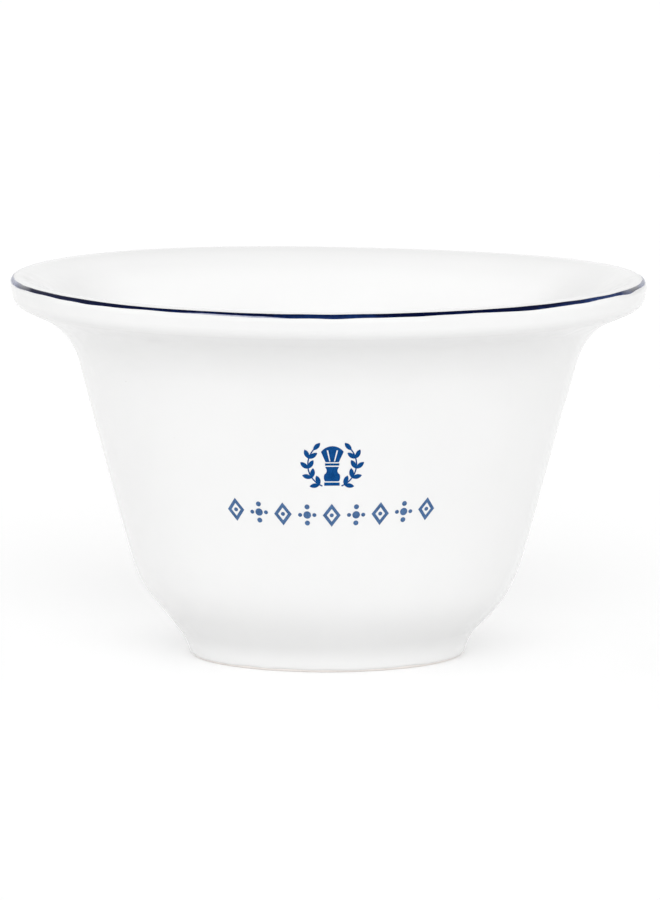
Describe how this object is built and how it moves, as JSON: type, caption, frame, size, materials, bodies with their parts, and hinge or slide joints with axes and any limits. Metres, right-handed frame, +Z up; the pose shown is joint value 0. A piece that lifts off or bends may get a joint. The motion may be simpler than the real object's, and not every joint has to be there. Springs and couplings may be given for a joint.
{
  "type": "shaving bowl",
  "caption": "Footed porcelain bowl with a flared, rolled lip, a painted rim line and a printed band, for whipping up shaving lather.",
  "frame": {"origin": "middle of the foot, on the surface the bowl stands on", "axes": "+Z up along the bowl's axis; the printed front faces -Y"},
  "size_m": [0.127, 0.127, 0.0755],
  "materials": {
    "bare_porcelain": "matte",
    "white_glaze": "gloss",
    "cobalt_line": "gloss",
    "emblem_ink": "satin",
    "row_ink": "satin"
  },
  "bodies": {
    "root": {"porcelain_body": "bare_porcelain", "glaze_coat": "white_glaze", "foot_well_glaze": "white_glaze", "rim_line": "cobalt_line", "emblem_print": "emblem_ink", "ornament_print": "row_ink"}
  },
  "joints": []
}
